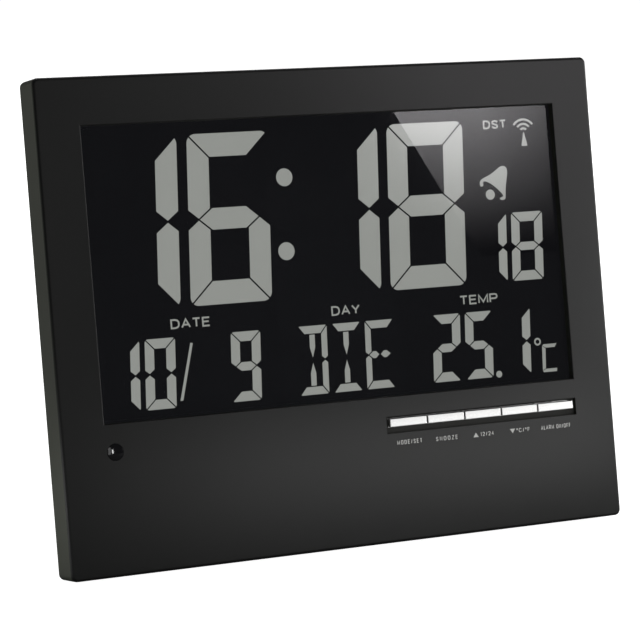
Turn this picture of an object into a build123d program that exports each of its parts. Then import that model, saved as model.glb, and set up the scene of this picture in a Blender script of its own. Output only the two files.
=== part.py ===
"""Radio-controlled wall clock with a large digital display, standing on its fold-out leg.

Millimetres. The clock stands on the plane Z = 0 and looks towards -Y. Its case leans back, so
every piece is drawn on planes that lean with it: face() is parallel to the front face, section()
is a cut from front to back. Depth is measured from the front face into the case, rise from the
front face's lower edge up the case.
"""
from build123d import *
from math import cos, hypot, radians, sin
import os

# Case
case_width = 230.0
case_height = 181.0
front_depth = 14.5
side_wall = 2.2
front_wall = 2.5
corner_radius = 2.4
inner_corner = 0.8
front_edge_radius = 1.2
rim_radius = 1.0
lean = 10.6
beyond = 1.0

# Display window and its lens
window_side = 17.0
window_top = 17.9
window_bottom = 55.3
window_recess = 2.7
window_edge_radius = 0.45
collar = 1.6
lens_thickness = 1.5
lens_margin = 5.0
lens_gap = 0.3
fence = 1.2

# Buttons
trough_side = 16.8
trough_width = 83.1
trough_bottom = 41.2
trough_height = 6.6
trough_depth = 1.6
trough_floor = 1.4
button_count = 5
button_pitch = 16.15
button_width = 15.5
button_height = 3.1
button_rise = 45.3
button_proud = 0.3
button_edge = 0.3
button_gap = 0.25
button_flange_height = 5.6
button_flange = 1.0
button_travel = 0.6
button_play = 0.1
stem_radius = 1.5

# Light sensor in the front face
sensor_side = 20.4
sensor_rise = 45.0
sensor_hole_radius = 3.2
sensor_gap = 0.1
sensor_proud = 0.7
sensor_flange = 0.8
sensor_flange_lip = 0.7
sensor_tube_wall = 1.0
sensor_board_depth = 8.0

# Rear housing
rear_inset_side = 7.5
rear_inset_end = 4.5
rear_corner = 7.0
rear_edge_radius = 2.5
rear_wall = 2.0
rear_draft = 2.0
flange_front = 12.5
flange_thickness = 1.8
flange_gap = 0.2

# Case screws
post_radius = 3.4
pilot_gap = 0.05
pilot_depth = 9.0
screw_head_radius = 2.6
screw_head_height = 1.9
screw_shank_radius = 1.2
screw_length = 11.0
screw_floor = 4.5
screw_gap = 0.4
cross_length = 2.8
cross_width = 0.7
cross_depth = 0.8
top_screws_side = 23.0
top_screws_inset = 7.6
bottom_screws_side = 17.0
middle_screws_across = 48.0
bottom_screws_rise = 12.0

# Battery compartment: four cells lie across the case, one above the other
cell_radius = 7.1
cell_length = 50.5
cell_can = 49.2
nub_radius = 2.75
cell_pitch = 14.6
cell_count = 4
cell_gap = 0.1
tub_above_hinge = 12.0
tub_board_gap = 0.7
tub_floor = 1.0
tub_wall = 1.4
contact_plate = 0.4
contact_dimple = 0.8
spring_length = 4.4
spring_wire = 0.3
spring_radius = 4.2
spring_halves = 6
spring_sides = 6
dimple_radius = 2.2
cell_edge = 0.5
contact_size = 11.0

# Battery door
door_thickness = 1.6
door_lip = 1.9
door_gap = 0.2
door_seat = 0.1
door_cell_gap = 0.2
door_surround = 1.4
tongue_width = 8.0
tongue_across = 17.0
tongue_thickness = 1.4
tongue_length = 1.8
tongue_gap = 0.3
tongue_swing = 0.7
latch_width = 12.0
latch_height = 9.0
latch_slot = 0.8
latch_nose = 1.2
latch_short = 0.15
latch_side = 1.0
scoop_reach = 8.0
scoop_depth = 1.2
grip_grooves = 3
grip_pitch = 2.0
grip_width = 0.8
grip_depth = 0.5

# Fold-out leg
leg_width = 58.0
leg_foot_width = 46.0
leg_thickness = 3.2
leg_skin = 1.6
leg_rim = 2.4
leg_angle = 25.0
leg_shoulder = 12.0
leg_heel = 3.6
leg_inset = 0.2
leg_gap = 0.3
leg_side_gap = 0.6
leg_pockets = 3
barrel_radius = 2.6
barrel_gap = 0.4
pin_radius = 1.2
pin_fit = 0.05
pin_seat = 2.4
pan_side = 3.0
pan_wall = 1.5
hinge_rise = 66.0

# Keyhole for a wall screw
keyhole_inset = 26.0
keyhole_radius = 4.0
keyhole_slot = 4.2
keyhole_travel = 7.0
keyhole_room = 6.0
keyhole_wall = 1.2
keyhole_side = 2.0

# Liquid crystal display
glass_margin = 3.0
glass_thickness = 1.1
glass_ledge = 3.0
polariser = 0.2
film_margin = 1.0
guide_thickness = 2.0
guide_inset = 0.3
reflector = 0.2
led_bar_width = 1.0
led_count = 4
led_length = 3.5
led_proud = 1.2
led_gap = 0.2
stack_gap = 0.1

# Frame that holds the display against the lens
holder_gap = 0.3
ear_reach = 5.9
ear_width = 7.0
ear_depth = 6.7
ear_thickness = 1.8
ear_side = 3.3
ear_inset = 14.0
zebra_thickness = 1.8
zebra_inset = 13.0

# Circuit boards and what they carry
board_thickness = 1.2
board_edge = 0.5
board_screw_inset = 7.0
small_screw_radius = 0.8
small_head_radius = 1.6
small_head_height = 1.1
small_screw_length = 5.0
small_pilot_gap = 0.05
small_hole_gap = 0.25
chip_across = -68.0
chip_rise = 92.0
chip_radius = 8.0
chip_height = 1.4
crystal_across = -52.0
crystal_rise = 74.0
crystal_radius = 1.0
crystal_length = 6.2
capacitor_across = -48.0
capacitor_inset = 35.0
capacitor_radius = 3.15
capacitor_height = 7.7
capacitor_edge = 0.5
receiver_below_rod = 28.0
receiver_width = 22.0
receiver_height = 14.0
receiver_lift = 1.6
header_width = 2.4
receiver_chip_size = 6.0
receiver_chip_height = 0.9
switch_size = 6.0
switch_height = 3.5
switch_depth = 7.0
plunger_radius = 1.7
plunger_fit = 0.05
plunger_front = 6.2
plunger_length = 3.0
plunger_room = 0.8
key_board_width = 100.0
key_board_height = 14.0
key_board_rise = 41.6
key_post_radius = 2.6
key_screw_inset = 4.0
sensor_board_width = 14.0
sensor_board_top = 48.2
sensor_board_height = 28.0
sensor_post_rise = 31.0
photocell_radius = 1.5
photocell_front = 3.8
photocell_edge = 0.6
thermistor_rise = 24.5
thermistor_radius = 1.3
thermistor_length = 2.8

# Antenna and buzzer
rod_radius = 4.0
rod_length = 60.0
rod_side = 49.0
rod_inset = 31.0
rod_lift = 7.8
coil_radius = 5.6
coil_length = 24.0
coil_flange = 1.2
coil_flange_radius = 6.8
rod_fit = 0.05
saddle_width = 6.0
saddle_height = 12.0
saddle_offset = 22.0
saddle_reach = 1.0
buzzer_side = 45.0
buzzer_rise = 110.0
buzzer_radius = 11.0
buzzer_height = 5.0
buzzer_gap = 0.2
buzzer_ring = 1.2
buzzer_ring_height = 4.0
buzzer_hole = 1.5
slot_width = 1.6
slot_length = 12.0
slot_pitch = 3.6
slot_count = 5
vent_rise = 27.0

# From front to back, the display and the cells set where the boards, the door and the back lie
lens_back = window_recess + lens_thickness
glass_front = lens_back + polariser
rear_glass_front = glass_front + glass_thickness
rear_glass_back = rear_glass_front + glass_thickness
guide_front = rear_glass_back + polariser + stack_gap
guide_back = guide_front + guide_thickness
board_depth = guide_back + reflector + stack_gap
board_back = board_depth + board_thickness
tub_front = board_back + tub_board_gap
tub_floor_back = tub_front + tub_floor
cell_depth = tub_floor_back + cell_gap + cell_radius
door_front = cell_depth + cell_radius + door_cell_gap
case_depth = door_front + door_thickness
back_inside = case_depth - rear_wall
screw_seat = flange_front + screw_floor
rod_depth = board_back + rod_lift

# The leaning planes
tilt_sin = sin(radians(lean))
tilt_cos = cos(radians(lean))


def height_of(depth, rise):
    """Height of a point of the case above the front face's lower edge."""
    return tilt_cos * rise - tilt_sin * depth


def reach_of(depth, rise):
    """How far a point of the case lies behind the front face's lower edge."""
    return tilt_cos * depth + tilt_sin * rise


# The case stands on the rounded rear rim of its front shell, and the origin is on the floor,
# in the middle between the foremost and the rearmost point.
rear_top = case_height - rear_inset_end
floor_drop = height_of(front_depth - rim_radius, rim_radius) - rim_radius
front_reach = reach_of(front_edge_radius, front_edge_radius) - front_edge_radius
back_reach = reach_of(case_depth - rear_edge_radius, rear_top - rear_edge_radius) + rear_edge_radius
up = Vector(0, tilt_sin, tilt_cos)
back = Vector(0, tilt_cos, -tilt_sin)
across = Vector(1, 0, 0)
corner = Vector(0, -(front_reach + back_reach) / 2, -floor_drop)
back_axis = Axis((0, 0, 0), back)


def point(x, depth, rise):
    return corner + across * x + back * depth + up * rise


def face(depth):
    """Plane parallel to the front face: x to the right, y up the case, normal to the front."""
    return Plane(origin=point(0, depth, 0), x_dir=across, z_dir=back * -1)


def section(x):
    """Cut from front to back: x is the depth, y is the rise, normal to the right."""
    return Plane(origin=point(x, 0, 0), x_dir=back, z_dir=across)


def block(plane, centre, size, length, mode=Mode.ADD):
    """Rectangular block in the running part, from a plane towards the front."""
    with BuildSketch(plane) as outline:
        with Locations(centre):
            Rectangle(*size)
    extrude(outline.sketch, amount=length, mode=mode)


def rods(plane, places, radius, length, mode=Mode.ADD):
    """Round posts or holes in the running part, from a plane towards the front."""
    with BuildSketch(plane) as outline:
        with Locations(places):
            Circle(radius)
    extrude(outline.sketch, amount=length, mode=mode)


def write(builder, name):
    builder.part.label = name
    export_step(builder.part, f"parts/{name}.step")


# Places that several pieces share
case_mid = case_height / 2
inner_width = case_width - 2 * side_wall
inner_height = case_height - 2 * side_wall
rear_width = case_width - 2 * rear_inset_side
rear_height = case_height - 2 * rear_inset_end
window_width = case_width - 2 * window_side
window_height = case_height - window_top - window_bottom
window_mid = window_bottom + window_height / 2
lens_width = window_width + 2 * lens_margin
lens_height = window_height + 2 * lens_margin
glass_width = window_width + 2 * glass_margin
glass_height = window_height + 2 * glass_margin
holder_width = lens_width + 2 * (lens_gap + fence)
holder_height = lens_height + 2 * (lens_gap + fence)
trough_centre = (case_width / 2 - trough_side - trough_width / 2, trough_bottom + trough_height / 2)
sensor_across = sensor_side - case_width / 2
keyhole_rise = case_height - keyhole_inset
rod_across = case_width / 2 - rod_side
rod_rise = case_height - rod_inset
receiver_place = (rod_across, rod_rise - receiver_below_rod)
capacitor_place = (capacitor_across, case_height - capacitor_inset)
buzzer_place = (buzzer_side - case_width / 2, buzzer_rise)
pad_depth = trough_depth + trough_floor
button_places = [
    (trough_centre[0] + (i - (button_count - 1) / 2) * button_pitch, button_rise)
    for i in range(button_count)
]
row_width = (button_count - 1) * button_pitch + button_width
case_screw_places = [
    (side * x, rise)
    for x, rise in (
        (case_width / 2 - top_screws_side, case_height - top_screws_inset),
        (case_width / 2 - bottom_screws_side, bottom_screws_rise),
        (middle_screws_across, bottom_screws_rise),
    )
    for side in (-1, 1)
]
ear_spread = window_height / 2 - ear_inset
ear_rises = [window_mid + end * ear_spread for end in (-1, 0, 1)]
ear_places = [(side * (holder_width / 2 + ear_side), rise) for side in (-1, 1) for rise in ear_rises]
tub_bottom = hinge_rise + tub_above_hinge
tub_length = 2 * contact_plate + contact_dimple + cell_length + spring_length
tub_height = cell_count * cell_pitch + 2 * cell_gap
tub_mid = tub_bottom + tub_height / 2
cell_rises = [tub_bottom + cell_gap + (i + 0.5) * cell_pitch for i in range(cell_count)]
door_width = tub_length + 2 * door_lip
door_height = tub_height + 2 * door_lip
door_bottom = tub_mid - door_height / 2
door_top = tub_mid + door_height / 2
tongue_back = back_inside - tongue_gap / 2
tongue_front = tongue_back - tongue_thickness
small_pilot = small_screw_radius + small_pilot_gap
small_hole = small_screw_radius + small_hole_gap
key_board_depth = switch_depth + switch_height
key_board_across = trough_centre[0]
key_screw_places = [
    (key_board_across + side * (key_board_width / 2 - key_screw_inset), key_board_rise) for side in (-1, 1)
]
sensor_screw_place = (sensor_across, sensor_post_rise)
board_width = holder_width - 2 * board_edge
board_height = holder_height - 2 * board_edge
board_screw_spread = window_height / 2 - board_screw_inset
ring_middle = (holder_width + glass_width) / 4 + holder_gap / 4
ring_middle_up = (holder_height + glass_height) / 4 + holder_gap / 4
board_screw_places = [
    (side * ring_middle, window_mid + end * board_screw_spread) for side in (-1, 1) for end in (-1, 0, 1)
] + [(0, window_mid + end * ring_middle_up) for end in (-1, 1)]

os.makedirs("parts", exist_ok=True)

# Front case: the visible shell with the window, the button trough and the sensor hole
with BuildPart() as front_case:
    with BuildSketch(face(front_depth)):
        with Locations((0, case_mid)):
            RectangleRounded(case_width, case_height, corner_radius)
    extrude(amount=front_depth)
    fillet(front_case.faces().sort_by(back_axis)[0].outer_wire().edges(), front_edge_radius)
    fillet(front_case.faces().sort_by(back_axis)[-1].outer_wire().edges(), rim_radius)
    with BuildSketch(face(front_depth)):
        with Locations((0, case_mid)):
            RectangleRounded(inner_width, inner_height, inner_corner)
    extrude(amount=front_depth - front_wall, mode=Mode.SUBTRACT)
    # Collar round the window, and the fence that locates the lens behind it
    collar_size = (window_width + 2 * collar, window_height + 2 * collar)
    block(face(window_recess), (0, window_mid), collar_size, window_recess - front_wall / 2)
    with BuildSketch(face(lens_back)):
        with Locations((0, window_mid)):
            Rectangle(lens_width + 2 * (lens_gap + fence), lens_height + 2 * (lens_gap + fence))
            Rectangle(lens_width + 2 * lens_gap, lens_height + 2 * lens_gap, mode=Mode.SUBTRACT)
    extrude(amount=lens_back - front_wall / 2)
    # Thicker pad behind the button trough, posts, bosses and the sensor's tube
    pad_size = (trough_width + 2 * trough_floor, trough_height + 2 * trough_floor)
    block(face(pad_depth), trough_centre, pad_size, pad_depth - front_wall / 2)
    rods(face(flange_front), case_screw_places, post_radius, flange_front - front_wall / 2)
    rods(face(ear_depth), ear_places, key_post_radius, ear_depth - front_wall / 2)
    rods(face(key_board_depth), key_screw_places, key_post_radius, key_board_depth - front_wall / 2)
    rods(face(sensor_board_depth), sensor_screw_place, key_post_radius, sensor_board_depth - front_wall / 2)
    tube_radius = sensor_hole_radius + sensor_flange_lip + sensor_tube_wall
    rods(face(lens_back), (sensor_across, sensor_rise), tube_radius, lens_back - front_wall / 2)
    # Openings
    block(face(window_recess), (0, window_mid), (window_width, window_height), case_depth, Mode.SUBTRACT)
    block(face(trough_depth), trough_centre, (trough_width, trough_height), case_depth, Mode.SUBTRACT)
    slot_size = (row_width + 2 * button_gap, button_height + 2 * button_gap)
    block(face(pad_depth), (trough_centre[0], button_rise), slot_size, case_depth, Mode.SUBTRACT)
    rods(face(front_wall), (sensor_across, sensor_rise), sensor_hole_radius, case_depth, Mode.SUBTRACT)
    bore = sensor_hole_radius + sensor_flange_lip
    rods(face(lens_back), (sensor_across, sensor_rise), bore, lens_back - front_wall, Mode.SUBTRACT)
    rods(face(flange_front), case_screw_places, screw_shank_radius + pilot_gap, pilot_depth, Mode.SUBTRACT)
    rods(face(ear_depth), ear_places, small_pilot, small_screw_length, Mode.SUBTRACT)
    rods(face(key_board_depth), key_screw_places, small_pilot, small_screw_length, Mode.SUBTRACT)
    rods(face(sensor_board_depth), sensor_screw_place, small_pilot, small_screw_length, Mode.SUBTRACT)
    window_edges = front_case.faces().sort_by(back_axis)[0].inner_wires().sort_by(SortBy.LENGTH)[-1].edges()
    fillet(window_edges, window_edge_radius)
write(front_case, "front_case")
print("front case", round(front_case.part.volume), front_case.part.is_valid)

# Rear case: flange that drops into the front case, drafted housing, battery tub and leg recess
pocket_width = leg_width + 2 * leg_side_gap
hinge_depth = case_depth - leg_inset - barrel_radius
leg_inner = case_depth - leg_inset - leg_thickness
pocket_floor = leg_inner - leg_gap
groove_radius = barrel_radius + barrel_gap
foot_radius = leg_thickness / 2

# The leg is as long as its opened foot needs to reach the floor. The foot's centre lies leg_length
# down the leg and foot_out towards the leg's outer side, measured from the hinge.
foot_out = barrel_radius - foot_radius
foot_drop = height_of(hinge_depth, hinge_rise) - floor_drop - foot_radius
leg_slope = radians(leg_angle - lean)
leg_length = (foot_drop + foot_out * sin(leg_slope)) / cos(leg_slope)
open_sin = sin(radians(leg_angle))
open_cos = cos(radians(leg_angle))
leg_out = back * open_cos + up * open_sin
leg_up = up * open_cos - back * open_sin
hinge = point(0, hinge_depth, hinge_rise)

# Where the opened heel's inner side lies: it stops against a slope at this angle
heel_top = hypot(leg_heel, barrel_radius) + leg_gap
heel_in = leg_thickness - barrel_radius + pin_fit
slope_low = (hinge_depth - heel_in / open_cos, hinge_rise)
slope_high = (slope_low[0] - heel_top * open_sin / open_cos, hinge_rise + heel_top)

with BuildPart() as rear_case:
    with BuildSketch(face(flange_front + flange_thickness)):
        with Locations((0, case_mid)):
            RectangleRounded(inner_width - 2 * flange_gap, inner_height - 2 * flange_gap, inner_corner)
    extrude(amount=flange_thickness)
    with BuildSketch(face(case_depth)):
        with Locations((0, case_mid)):
            RectangleRounded(rear_width, rear_height, rear_corner)
    extrude(amount=case_depth - flange_front, taper=-rear_draft)
    fillet(rear_case.faces().sort_by(back_axis)[-1].outer_wire().edges(), rear_edge_radius)
    with BuildSketch(face(back_inside)):
        with Locations((0, case_mid)):
            RectangleRounded(rear_width - 2 * rear_wall, rear_height - 2 * rear_wall, rear_corner - rear_wall)
    extrude(amount=back_inside - flange_front, taper=-rear_draft, mode=Mode.SUBTRACT)
    post_back = case_depth - rear_wall / 2
    rods(face(post_back), case_screw_places, post_radius, post_back - flange_front)
    # Battery tub, with a thicker frame that the door sits on
    tub_size = (tub_length + 2 * tub_wall, tub_height + 2 * tub_wall)
    block(face(post_back), (0, tub_mid), tub_size, post_back - tub_front)
    frame_size = (door_width + 2 * (door_gap + door_surround), door_height + 2 * (door_gap + door_surround))
    frame_front = door_front - door_seat - tongue_thickness - 2 * tongue_gap
    block(face(post_back), (0, tub_mid), frame_size, post_back - frame_front)
    # Room for the wall screw's head behind the keyhole
    keyhole_mid = keyhole_rise + keyhole_travel / 2
    keyhole_span = 2 * (keyhole_radius + keyhole_side)
    keyhole_size = (keyhole_span, keyhole_span + keyhole_travel)
    box_size = (keyhole_size[0] + 2 * keyhole_wall, keyhole_size[1] + 2 * keyhole_wall)
    room_front = back_inside - keyhole_room
    block(face(post_back), (0, keyhole_mid), box_size, post_back - room_front + keyhole_wall)
    # Ring that holds the buzzer
    ring_outer = buzzer_radius + buzzer_gap + buzzer_ring
    rods(face(post_back), buzzer_place, ring_outer, post_back - back_inside + buzzer_ring_height)
    # Pan for the folded leg
    with BuildSketch(section(0)) as pan:
        pan_front = pocket_floor - pan_wall
        with Locations(((pan_front + post_back) / 2, (rear_inset_end + hinge_rise) / 2)):
            Rectangle(post_back - pan_front, hinge_rise - rear_inset_end)
        groove_front = slope_high[0] - pan_wall
        groove_bottom = hinge_rise - groove_radius - pan_wall
        groove_top = hinge_rise + heel_top + pan_wall
        with Locations(((groove_front + post_back) / 2, (groove_bottom + groove_top) / 2)):
            Rectangle(post_back - groove_front, groove_top - groove_bottom)
    extrude(pan.sketch, amount=pocket_width / 2 + pan_side, both=True)
    # Hollows
    block(face(case_depth + beyond), (0, tub_mid), (tub_length, tub_height), case_depth + beyond - tub_floor_back, Mode.SUBTRACT)
    door_hole = (door_width + 2 * door_gap, door_height + 2 * door_gap)
    block(face(case_depth + beyond), (0, tub_mid), door_hole, beyond + door_thickness + door_seat, Mode.SUBTRACT)
    block(face(back_inside), (0, keyhole_mid), keyhole_size, keyhole_room, Mode.SUBTRACT)
    with BuildSketch(face(case_depth)) as keyhole:
        with Locations((0, keyhole_rise)):
            Circle(keyhole_radius)
        with Locations((0, keyhole_mid)):
            SlotOverall(keyhole_travel + keyhole_slot, keyhole_slot, rotation=90)
    extrude(keyhole.sketch, amount=rear_wall + beyond, mode=Mode.SUBTRACT)
    rods(
        face(back_inside), buzzer_place,
        buzzer_radius + buzzer_gap, buzzer_ring_height, Mode.SUBTRACT,
    )
    with BuildSketch(section(0)) as pocket:
        with Locations(((pocket_floor + case_depth + beyond) / 2, hinge_rise / 2 - beyond)):
            Rectangle(case_depth + beyond - pocket_floor, hinge_rise + 2 * beyond)
        with Locations((hinge_depth, hinge_rise)):
            Circle(groove_radius)
        with BuildLine():
            Polyline(slope_low, slope_high, (case_depth + beyond, slope_high[1]), (case_depth + beyond, hinge_rise), close=True)
        make_face()
    extrude(pocket.sketch, amount=pocket_width / 2, both=True, mode=Mode.SUBTRACT)
    with BuildSketch(section(0)) as pin_hole:
        with Locations((hinge_depth, hinge_rise)):
            Circle(pin_radius + pin_fit / 2)
    extrude(pin_hole.sketch, amount=pocket_width / 2 + pin_seat + leg_side_gap / 4, both=True, mode=Mode.SUBTRACT)
    # Screw holes with deep seats, slots for sound and air, and room for the door's tongues
    rods(face(case_depth + beyond), case_screw_places, screw_shank_radius + screw_gap / 2, case_depth, Mode.SUBTRACT)
    rods(
        face(case_depth + beyond), case_screw_places,
        screw_head_radius + screw_gap, case_depth + beyond - screw_seat, Mode.SUBTRACT,
    )
    tongue_room = (tongue_width + 2 * tongue_gap, door_lip + tongue_length + tongue_gap)
    tongue_room_mid = tub_bottom - tongue_room[1] / 2
    neck_room = (tongue_room[0], door_lip)
    for x in (-tongue_across, tongue_across):
        block(face(back_inside), (x, tongue_room_mid), tongue_room, back_inside - tongue_front + tongue_swing, Mode.SUBTRACT)
        block(face(door_front), (x, tub_bottom - door_lip / 2), neck_room, door_front - tongue_front, Mode.SUBTRACT)
    latch_room = (latch_width + 2 * latch_slot, door_lip + door_gap)
    latch_room_mid = tub_bottom + tub_height + latch_room[1] / 2
    block(face(door_front), (0, latch_room_mid), latch_room, latch_nose + tongue_gap, Mode.SUBTRACT)
    scoop_radius = (scoop_reach**2 + scoop_depth**2) / (2 * scoop_depth)
    with Locations(point(0, case_depth - scoop_depth + scoop_radius, door_top)):
        Sphere(scoop_radius, mode=Mode.SUBTRACT)
    with BuildSketch(face(case_depth + beyond)) as slots:
        for slot_place in (buzzer_place, (sensor_across, vent_rise)):
            with Locations(slot_place):
                with GridLocations(slot_pitch, slot_pitch, slot_count, 1):
                    SlotOverall(slot_length, slot_width, rotation=90)
    extrude(slots.sketch, amount=rear_wall + 2 * beyond, mode=Mode.SUBTRACT)
write(rear_case, "rear_case")
print("rear case", round(rear_case.part.volume), rear_case.part.is_valid, "leg", round(leg_length, 2))

# Battery door: plate with two tongues below and a springy latch cut free at its top
with BuildPart() as battery_door:
    block(face(case_depth), (0, tub_mid), (door_width, door_height), door_thickness)
    fillet(battery_door.edges().filter_by(back_axis), door_lip / 2)
    tongue_size = (tongue_width, door_lip + tongue_length + tongue_gap)
    tongue_mid = door_bottom - tongue_length + tongue_size[1] / 2
    neck_mid = tub_bottom - door_lip / 2 + tongue_gap
    for x in (-tongue_across, tongue_across):
        block(face(tongue_back), (x, tongue_mid + tongue_gap), tongue_size, tongue_thickness)
        block(face(door_front), (x, neck_mid), (tongue_width, door_lip), door_front - tongue_front)
    nose_mid = door_top - latch_short - latch_nose / 2
    block(face(door_front), (0, nose_mid), (latch_width - 2 * latch_side, latch_nose), latch_nose)
    with BuildSketch(face(case_depth)) as latch_cut:
        with Locations((0, door_top - latch_height / 2)):
            Rectangle(latch_width + 2 * latch_slot, latch_height)
            Rectangle(latch_width, latch_height, mode=Mode.SUBTRACT)
    extrude(latch_cut.sketch, amount=door_thickness, mode=Mode.SUBTRACT)
    for i in range(grip_grooves):
        groove_place = (0, door_top - latch_height / 2 + (i - (grip_grooves - 1) / 2) * grip_pitch)
        block(face(case_depth), groove_place, (latch_width - 2 * latch_side, grip_width), grip_depth, Mode.SUBTRACT)
write(battery_door, "battery_door")

# Fold-out leg, drawn in its opened place on planes that turn with it
leg_section = Plane(origin=hinge, x_dir=leg_out, z_dir=across)


def leg_face(out):
    """Plane parallel to the leg's outer side: x to the right, y up the leg."""
    return Plane(origin=hinge + leg_out * out, x_dir=across, z_dir=leg_out * -1)


with BuildPart() as stand_leg:
    with BuildSketch(leg_section):
        with Locations((barrel_radius - leg_thickness / 2, (leg_heel - leg_length) / 2)):
            Rectangle(leg_thickness, leg_heel + leg_length)
        Circle(barrel_radius)
        with Locations((foot_out, -leg_length)):
            Circle(foot_radius)
    extrude(amount=leg_width / 2, both=True)
    leg_end = leg_length + foot_radius
    with BuildSketch(leg_face(0)):
        with BuildLine():
            Polyline(
                (-leg_width / 2, leg_heel),
                (leg_width / 2, leg_heel),
                (leg_width / 2, -leg_shoulder),
                (leg_foot_width / 2, -leg_end),
                (-leg_foot_width / 2, -leg_end),
                (-leg_width / 2, -leg_shoulder),
                close=True,
            )
        make_face()
    extrude(amount=leg_width, both=True, mode=Mode.INTERSECT)
    # Shallow pockets on the hidden side leave a rim and ribs
    pocket_top = -barrel_radius - leg_rim
    pocket_low = -leg_length + leg_rim
    rib_pitch = (pocket_top - pocket_low + leg_rim / 2) / leg_pockets
    inner_side = barrel_radius - leg_thickness
    with BuildSketch(leg_face(inner_side)) as recesses:
        for i in range(leg_pockets):
            with Locations((0, pocket_top - rib_pitch * i - (rib_pitch - leg_rim / 2) / 2)):
                RectangleRounded(leg_foot_width - 2 * leg_rim, rib_pitch - leg_rim / 2, leg_rim / 2)
    extrude(recesses.sketch, amount=-(leg_thickness - leg_skin), mode=Mode.SUBTRACT)
    with BuildSketch(leg_section) as bore:
        Circle(pin_radius + pin_fit)
    extrude(bore.sketch, amount=leg_width, both=True, mode=Mode.SUBTRACT)
write(stand_leg, "stand_leg")

with BuildPart() as stand_pin:
    with BuildSketch(leg_section):
        Circle(pin_radius)
    extrude(amount=pocket_width / 2 + pin_seat, both=True)
    chamfer(stand_pin.edges().filter_by(GeomType.CIRCLE), pin_radius / 5)
write(stand_pin, "stand_pin")

# Display lens and the liquid crystal display behind it, from front to back
rear_glass_height = glass_height - 2 * glass_ledge
guide_height = rear_glass_height - 2 * guide_inset
led_bar_left = -glass_width / 2
led_left = led_bar_left + led_bar_width
guide_left = led_left + led_proud + led_gap
guide_width = glass_width / 2 - guide_left
guide_across = guide_left + guide_width / 2
film_trim = 2 * film_margin
for layer_name, layer_x, layer_size, layer_front, layer_thickness in (
    ("display_lens", 0, (lens_width, lens_height), window_recess, lens_thickness),
    ("front_polariser", 0, (glass_width - film_trim, glass_height - film_trim), lens_back, polariser),
    ("front_glass", 0, (glass_width, glass_height), glass_front, glass_thickness),
    ("rear_glass", 0, (glass_width, rear_glass_height), rear_glass_front, glass_thickness),
    ("rear_polariser", 0, (glass_width - film_trim, rear_glass_height - film_trim), rear_glass_back, polariser),
    ("light_guide", guide_across, (guide_width, guide_height), guide_front, guide_thickness),
    ("reflector_sheet", guide_across, (guide_width, guide_height), guide_back, reflector),
):
    with BuildPart() as layer:
        block(face(layer_front + layer_thickness), (layer_x, window_mid), layer_size, layer_thickness)
    write(layer, layer_name)

with BuildPart() as led_strip:
    block(section(led_bar_left), ((guide_front + guide_back) / 2, window_mid), (guide_thickness, guide_height), led_bar_width)
write(led_strip, "led_strip")

with BuildPart() as led_lamps:
    for i in range(led_count):
        led_rise = window_mid + ((i + 0.5) / led_count - 0.5) * guide_height
        led_centre = ((guide_front + guide_back) / 2, led_rise)
        block(section(led_left), led_centre, (guide_thickness - 2 * stack_gap, led_length), led_proud)
write(led_lamps, "led_lamps")

# Two rubber strips join the ledges of the front glass to the main board
with BuildPart() as contact_strips:
    for end in (-1, 1):
        strip_place = (0, window_mid + end * (glass_height - glass_ledge) / 2)
        strip_size = (glass_width - 2 * zebra_inset, zebra_thickness)
        block(face(board_depth), strip_place, strip_size, board_depth - rear_glass_front)
write(contact_strips, "contact_strips")

# Frame that presses the display against the lens, with six ears on bosses of the front case
with BuildPart() as display_holder:
    block(face(board_depth), (0, window_mid), (holder_width, holder_height), board_depth - lens_back)
    for side in (-1, 1):
        for rise in ear_rises:
            ear_place = (side * (holder_width / 2 + ear_reach / 2 - holder_gap), rise)
            block(face(ear_depth + ear_thickness), ear_place, (ear_reach + 2 * holder_gap, ear_width), ear_thickness)
    opening = (glass_width + 2 * holder_gap, glass_height + 2 * holder_gap)
    block(face(board_depth), (0, window_mid), opening, board_depth, Mode.SUBTRACT)
    rods(face(board_depth), board_screw_places, small_pilot, small_screw_length - board_thickness / 2, Mode.SUBTRACT)
    rods(face(board_depth), ear_places, small_hole, board_depth, Mode.SUBTRACT)
write(display_holder, "display_holder")


def screws(places, seat, head_radius, head_height, shank_radius, length):
    """Screws with their heads on the plane at depth seat and their shanks towards the front."""
    rods(face(seat + head_height), places, head_radius, head_height)
    rods(face(seat), places, shank_radius, length)


small_screw = (small_head_radius, small_head_height, small_screw_radius, small_screw_length)
with BuildPart() as holder_screws:
    screws(ear_places, ear_depth + ear_thickness, *small_screw)
write(holder_screws, "holder_screws")

with BuildPart() as board_screws:
    screws(board_screw_places, board_back, *small_screw)
    screws(key_screw_places, key_board_depth + board_thickness, *small_screw)
    screws(sensor_screw_place, sensor_board_depth + board_thickness, *small_screw)
write(board_screws, "board_screws")

with BuildPart() as case_screws:
    screws(case_screw_places, screw_seat, screw_head_radius, screw_head_height, screw_shank_radius, screw_length)
    for cross_size in ((cross_length, cross_width), (cross_width, cross_length)):
        for place in case_screw_places:
            block(face(screw_seat + screw_head_height), place, cross_size, cross_depth, Mode.SUBTRACT)
write(case_screws, "case_screws")

# Main board with the parts on its back
with BuildPart() as main_board:
    block(face(board_back), (0, window_mid), (board_width, board_height), board_thickness)
    rods(face(board_back), board_screw_places, small_hole, board_thickness, Mode.SUBTRACT)
write(main_board, "main_board")

with BuildPart() as controller_chip:
    chip_origin = point(chip_across, board_back, chip_rise)
    with BuildSketch(Plane(origin=chip_origin, x_dir=back, z_dir=across)):
        with BuildLine():
            TangentArc((chip_height, 0), (0, chip_radius), tangent=(0, 1))
            Polyline((0, chip_radius), (0, 0), (chip_height, 0))
        make_face()
    revolve(axis=Axis(chip_origin, back))
write(controller_chip, "controller_chip")

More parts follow.
